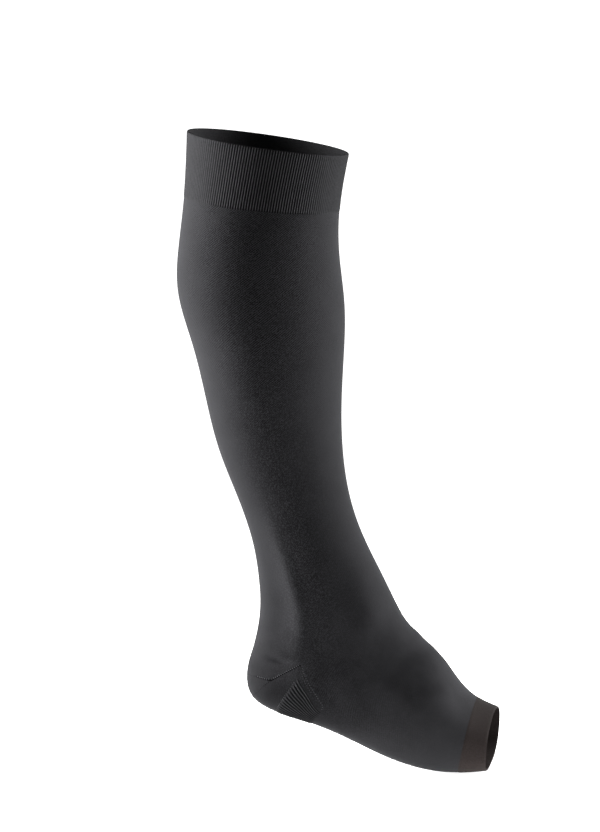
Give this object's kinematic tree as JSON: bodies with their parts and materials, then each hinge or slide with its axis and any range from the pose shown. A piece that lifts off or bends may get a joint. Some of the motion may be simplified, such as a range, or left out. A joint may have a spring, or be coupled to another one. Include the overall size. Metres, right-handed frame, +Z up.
{
  "type": "compression stocking",
  "caption": "Below-knee medical compression stocking with an open toe, a ribbed top band, a turned heel and a ribbed sole patch, in its worn shape and empty.",
  "frame": {"origin": "middle of the top opening, where the leg goes in", "axes": "+X towards the toes, +Y towards the inner side of the right leg, +Z up along the shank"},
  "size_m": [0.2445, 0.1118, 0.4839],
  "materials": {
    "rib_knit": "matt charcoal rib knit",
    "leg_knit": "fine charcoal stretch knit with a soft sheen",
    "toe_knit": "flat brownish black knit"
  },
  "bodies": {
    "root": {"top_band": "rib_knit", "leg": "leg_knit", "heel": "leg_knit", "sole_ribs": "rib_knit", "foot": "leg_knit", "toe_band": "toe_knit"}
  },
  "joints": []
}
